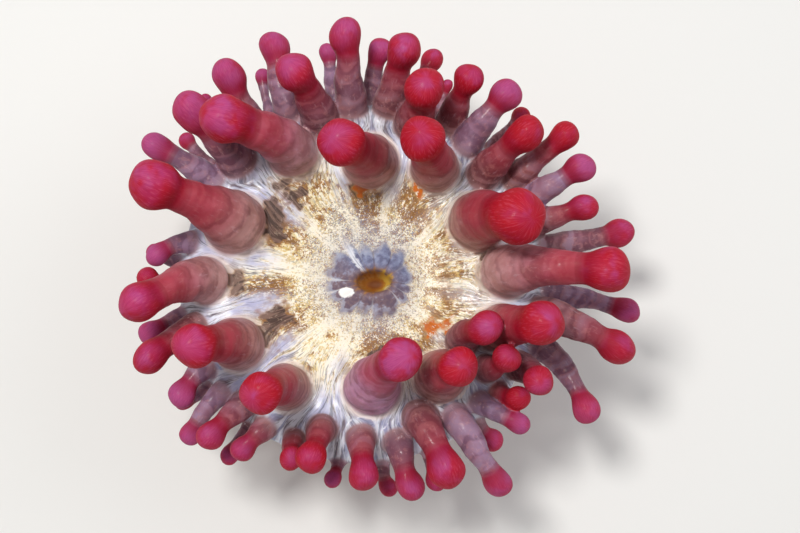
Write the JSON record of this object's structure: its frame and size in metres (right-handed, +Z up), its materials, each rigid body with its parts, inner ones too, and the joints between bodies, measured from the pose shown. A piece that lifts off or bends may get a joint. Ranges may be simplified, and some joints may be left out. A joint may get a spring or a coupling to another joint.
{
  "type": "club-tipped sea anemone",
  "caption": "Life-size sea anemone standing open on its foot: a flared column, a pale oral disc with the mouth off its middle, and a crown of tapering tentacles that end in round clubs.",
  "frame": {"origin": "the middle of the pedal disc's flat underside, on the floor", "axes": "+Z up along the column towards the oral disc, +X towards the side that the mouth lies off to"},
  "size_m": [0.1812, 0.1663, 0.1161],
  "materials": {
    "skin": "soft wet flesh, dusky rose shafts with darker bands",
    "club_skin": "soft wet flesh, crimson tip with a magenta bloom on the sides",
    "disc_skin": "soft wet flesh, cream speckled with golden brown, white streaks between the tentacles",
    "lip_skin": "soft wet flesh, grey violet lobes round an orange brown mouth",
    "column_skin": "soft wet flesh, pinkish brown with pale lengthwise lines"
  },
  "bodies": {
    "root": {"foot": "column_skin", "column": "column_skin", "collar": "column_skin", "mouth_lips": "lip_skin", "oral_disc": "disc_skin", "tentacle_01_root": "skin", "tentacle_01_shaft": "skin", "tentacle_01_club": "club_skin", "tentacle_02_root": "skin", "tentacle_02_shaft": "skin", "tentacle_02_club": "club_skin", "tentacle_03_root": "skin", "tentacle_03_shaft": "skin", "tentacle_03_club": "club_skin", "tentacle_04_root": "skin", "tentacle_04_shaft": "skin", "tentacle_04_club": "club_skin", "tentacle_05_root": "skin", "tentacle_05_shaft": "skin", "tentacle_05_club": "club_skin", "tentacle_06_root": "skin", "tentacle_06_shaft": "skin", "tentacle_06_club": "club_skin", "tentacle_07_root": "skin", "tentacle_07_shaft": "skin", "tentacle_07_club": "club_skin", "tentacle_08_root": "skin", "tentacle_08_shaft": "skin", "tentacle_08_club": "club_skin", "tentacle_09_root": "skin", "tentacle_09_shaft": "skin", "tentacle_09_club": "club_skin", "tentacle_10_root": "skin", "tentacle_10_shaft": "skin", "tentacle_10_club": "club_skin", "tentacle_11_root": "skin", "tentacle_11_shaft": "skin", "tentacle_11_club": "club_skin", "tentacle_12_root": "skin", "tentacle_12_shaft": "skin", "tentacle_12_club": "club_skin", "crown_01": "skin", "crown_02": "skin", "crown_03": "skin", "crown_04": "skin", "crown_05": "skin", "crown_06": "skin", "crown_07": "skin", "crown_08": "skin", "crown_09": "skin", "crown_10": "skin", "crown_11": "skin", "crown_12": "skin"}
  },
  "joints": []
}
